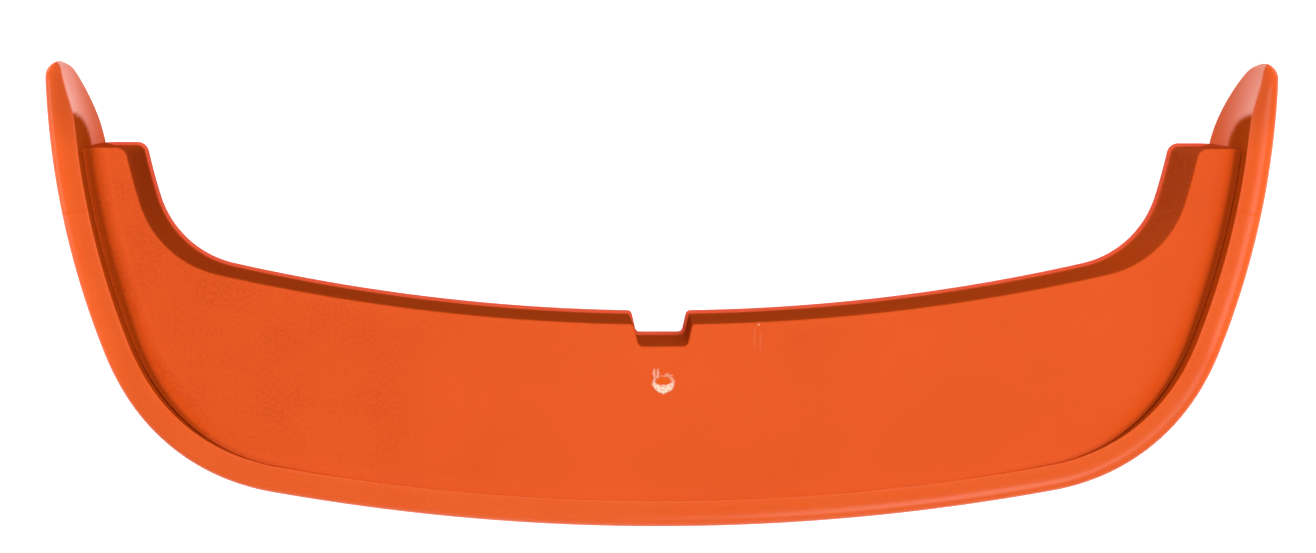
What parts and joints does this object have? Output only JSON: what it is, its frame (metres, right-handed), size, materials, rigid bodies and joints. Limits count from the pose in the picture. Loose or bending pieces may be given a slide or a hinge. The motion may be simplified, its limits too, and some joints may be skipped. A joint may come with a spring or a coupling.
{
  "type": "stretcher end guard",
  "caption": "U-shaped moulded end guard of a scoop stretcher, with a flat front tray, a notched mouth wall and a rounded bumper rim that rises into two ears.",
  "frame": {"origin": "under the middle of the bounding box, on the plane of the back edges", "axes": "+Z out of the front face, +X toward the right arm, +Y toward the open mouth of the U"},
  "size_m": [0.4298, 0.1624, 0.0625],
  "materials": {
    "tray_plastic": "fine-textured orange polypropylene",
    "rim_plastic": "satin orange thermoplastic",
    "insert_brass": "turned brass",
    "screw_steel": "zinc-plated steel"
  },
  "bodies": {
    "root": {"front_tray": "tray_plastic", "bumper_rim": "rim_plastic", "threaded_insert_1": "insert_brass", "threaded_insert_2": "insert_brass", "threaded_insert_3": "insert_brass", "threaded_insert_4": "insert_brass", "rim_screw_01": "screw_steel", "rim_screw_02": "screw_steel", "rim_screw_03": "screw_steel", "rim_screw_04": "screw_steel", "rim_screw_05": "screw_steel", "rim_screw_06": "screw_steel", "rim_screw_07": "screw_steel", "rim_screw_08": "screw_steel", "rim_screw_09": "screw_steel", "rim_screw_10": "screw_steel"}
  },
  "joints": []
}
